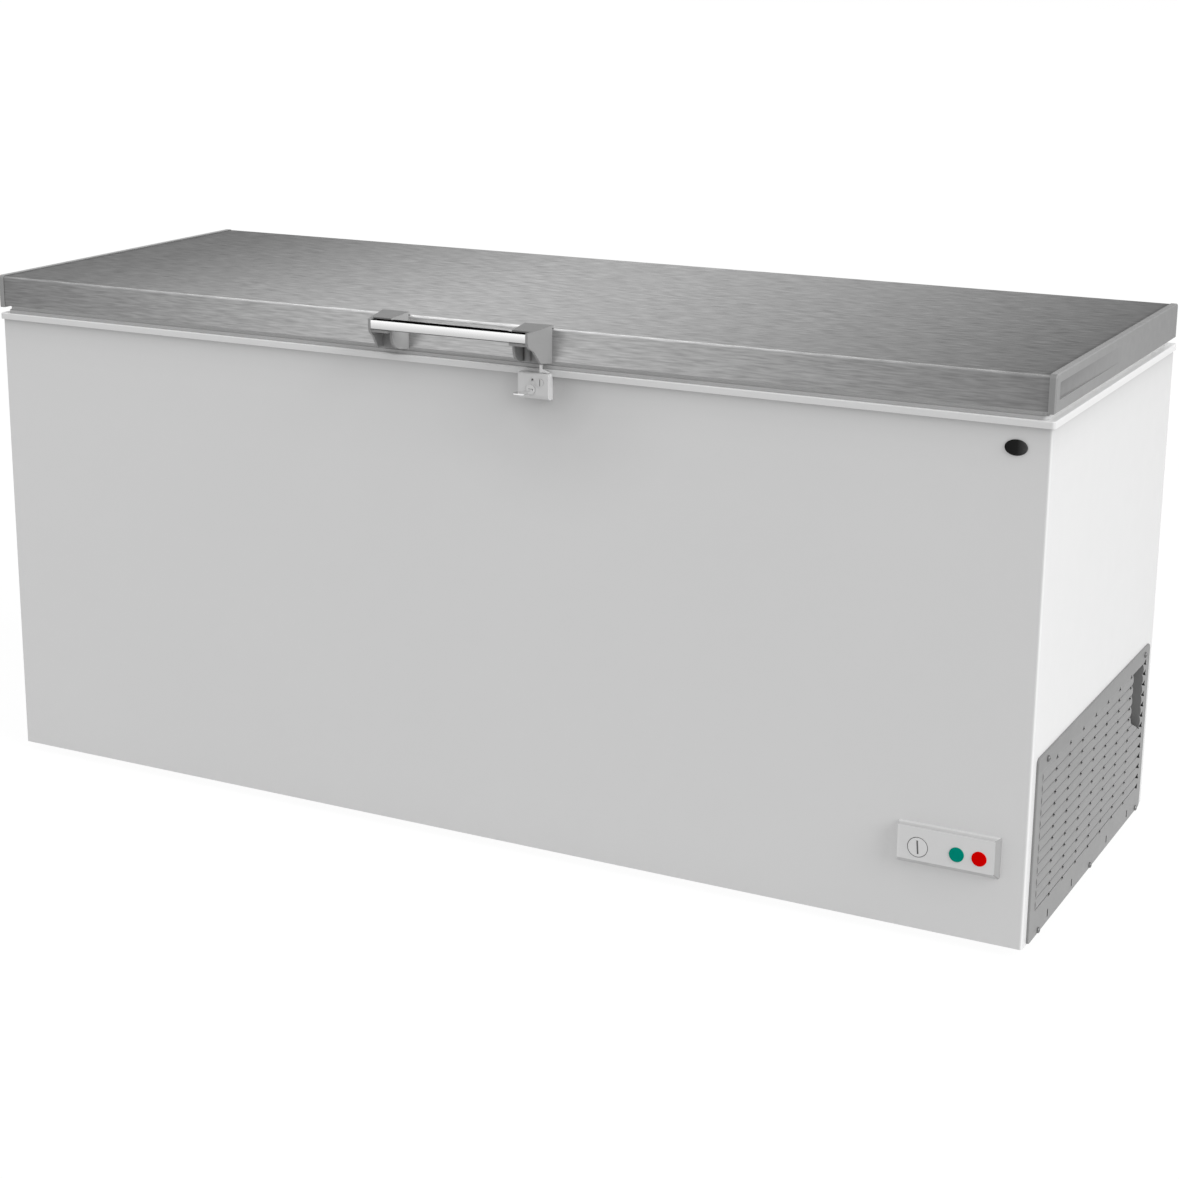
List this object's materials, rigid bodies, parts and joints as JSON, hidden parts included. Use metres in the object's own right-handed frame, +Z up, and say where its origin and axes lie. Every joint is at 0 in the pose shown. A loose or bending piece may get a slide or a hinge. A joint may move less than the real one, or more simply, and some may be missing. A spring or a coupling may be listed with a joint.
{
  "type": "chest freezer",
  "caption": "Long white chest freezer: brushed-steel hinged lid with bar handle, keyed lock, stepped tub, side vent grille and a low panel with dial and lamps.",
  "frame": {"origin": "on the floor under the feet, at the middle of the overall box in plan", "axes": "+X along the width towards the vent grille, +Y to the back where the hinges are, +Z up"},
  "size_m": [1.8101, 0.7445, 0.8464],
  "materials": {
    "white_paint": "smooth white powder coat",
    "zinc_sheet": "plain zinc-coated sheet",
    "black_rubber": "matt black rubber",
    "black_plastic": "matt black moulding",
    "liner_aluminium": "embossed aluminium sheet",
    "foam": "pale yellow rigid foam",
    "white_plastic": "white moulding",
    "copper_tube": "drawn copper tube",
    "black_paint": "black enamel",
    "grey_grille": "mid grey moulding",
    "screw_steel": "plated steel",
    "panel_plastic": "light grey moulding",
    "green_lens": "green lens",
    "red_lens": "red lens",
    "badge_black": "glossy black, bare",
    "lock_white": "white enamel",
    "key_steel": "bright nickel plate",
    "brushed_lid": "steel brushed along the length",
    "grey_plastic": "mid grey moulding",
    "gasket_grey": "soft light grey seal",
    "bar_chrome": "polished channel",
    "hinge_steel": "zinc-plated pressed steel"
  },
  "bodies": {
    "cabinet": {"cabinet_wrap": "white_paint", "back_panel": "zinc_sheet", "back_rivets": "zinc_sheet", "cable_gland": "black_rubber", "base_panel": "zinc_sheet", "compressor_tray": "zinc_sheet", "foot_front_left": "black_plastic", "foot_front_right": "black_plastic", "foot_back_left": "black_plastic", "foot_back_right": "black_plastic", "inner_liner": "liner_aluminium", "cabinet_foam": "foam", "top_rim": "white_plastic", "evaporator_coil": "copper_tube", "condenser_coil": "copper_tube", "compressor": "black_paint", "compressor_grommets": "black_rubber", "relay_box": "black_plastic", "discharge_line": "copper_tube", "suction_line": "copper_tube", "filter_drier": "copper_tube", "vent_grille": "grey_grille", "grille_window_plate": "grey_grille", "grille_window_legs": "grey_grille", "grille_screws": "screw_steel", "control_panel": "panel_plastic", "thermostat_body": "black_plastic", "green_lamp": "green_lens", "red_lamp": "red_lens", "badge_plate": "badge_black", "lock_housing": "lock_white", "lock_pivot_pin": "screw_steel", "lock_screws": "screw_steel", "hinge_bracket_left": "hinge_steel", "hinge_bracket_right": "hinge_steel", "hinge_pin_left": "screw_steel", "hinge_pin_right": "screw_steel", "hinge_spring_left": "screw_steel", "hinge_spring_right": "screw_steel", "hinge_screws": "screw_steel"},
    "lid": {"lid_skin": "brushed_lid", "lid_foam": "foam", "lid_inner_panel": "white_plastic", "lid_end_cap_right": "grey_plastic", "lid_end_cap_left": "grey_plastic", "lid_gasket": "gasket_grey", "handle_bracket_right": "grey_plastic", "handle_bracket_left": "grey_plastic", "handle_bar": "bar_chrome", "handle_insert": "black_rubber", "handle_screws": "screw_steel", "hinge_arm_left": "hinge_steel", "hinge_arm_right": "hinge_steel", "hinge_arm_screws": "screw_steel"},
    "dial": {"thermostat_knob": "panel_plastic"},
    "key": {"lock_plug": "screw_steel", "lock_key": "key_steel"},
    "hook": {"lock_hook": "lock_white"}
  },
  "joints": [
    {"name": "lid_hinge", "type": "hinge", "parent": "cabinet", "child": "lid", "pos_m": [0, 0.364, 0.7898], "axis": [-1, 0, 0], "range_deg": [0, 85], "stiffness_Nm_per_rad": 20, "springref_deg": 89.95},
    {"name": "dial_turn", "type": "hinge", "parent": "cabinet", "child": "dial", "pos_m": [0.7455, -0.32, 0.147], "axis": [0, 1, 0], "range_deg": [0, 270]},
    {"name": "key_turn", "type": "hinge", "parent": "cabinet", "child": "key", "pos_m": [0.118, -0.32, 0.75], "axis": [0, 1, 0], "range_deg": [0, 90]},
    {"name": "hook_swing", "type": "hinge", "parent": "cabinet", "child": "hook", "pos_m": [0.1315, -0.3175, 0.751], "axis": [1, 0, 0], "range_deg": [0, 6.2]}
  ],
  "couplings": [
    {"joint": "hook_swing", "follows": "key_turn", "ratio": 0.066667}
  ]
}
